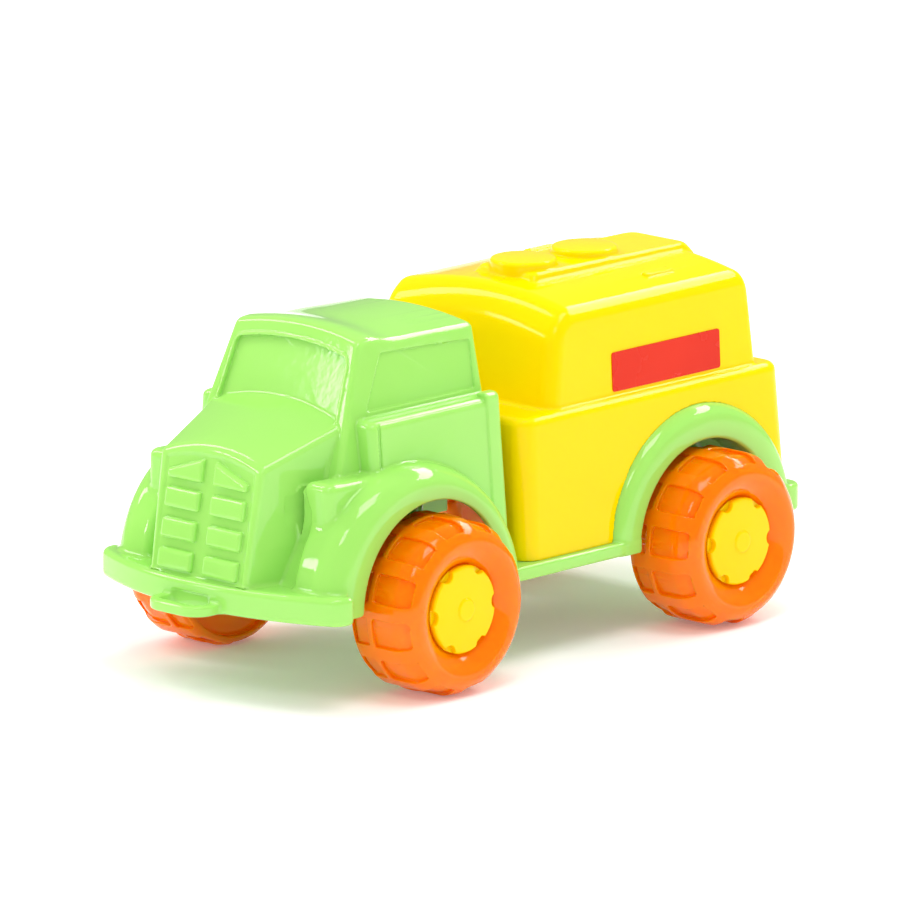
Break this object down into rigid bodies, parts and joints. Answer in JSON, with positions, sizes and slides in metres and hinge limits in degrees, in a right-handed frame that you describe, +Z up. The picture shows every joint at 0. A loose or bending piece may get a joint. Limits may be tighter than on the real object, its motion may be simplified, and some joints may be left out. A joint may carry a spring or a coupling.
{
  "type": "toy tanker truck",
  "caption": "Moulded plastic toy tanker truck with a rounded cab, a tank with a raised spine and round hatches, a front tow eye and wheels that roll on steel axles.",
  "frame": {"origin": "on the ground under the middle of the truck's length and width", "axes": "+Z up, the front of the truck faces -Y, +X towards the truck's left side"},
  "size_m": [0.1144, 0.2154, 0.1042],
  "materials": {
    "green_plastic": "glossy moulded polypropylene, lime green",
    "yellow_plastic": "glossy moulded polypropylene, warm yellow",
    "orange_plastic": "glossy moulded polypropylene, orange",
    "hub_plastic": "glossy moulded polypropylene, yellow",
    "label": "red film sticker",
    "steel": "drawn steel rod",
    "screw_steel": "zinc plated steel"
  },
  "bodies": {
    "truck": {"chassis": "green_plastic", "cab_shell": "green_plastic", "tank_shell": "yellow_plastic", "left_label": "label", "right_label": "label", "cab_screws": "screw_steel", "tank_screws": "screw_steel"},
    "front_wheels": {"front_axle": "steel", "front_left_tyre": "orange_plastic", "front_right_tyre": "orange_plastic", "front_left_hub": "hub_plastic", "front_right_hub": "hub_plastic"},
    "rear_wheels": {"rear_axle": "steel", "rear_left_tyre": "orange_plastic", "rear_right_tyre": "orange_plastic", "rear_left_hub": "hub_plastic", "rear_right_hub": "hub_plastic"}
  },
  "joints": [
    {"name": "front_axle_spin", "type": "hinge", "parent": "truck", "child": "front_wheels", "pos_m": [0, -0.04625, 0.025], "axis": [1, 0, 0], "continuous": true},
    {"name": "rear_axle_spin", "type": "hinge", "parent": "truck", "child": "rear_wheels", "pos_m": [0, 0.06695, 0.025], "axis": [1, 0, 0], "continuous": true}
  ]
}
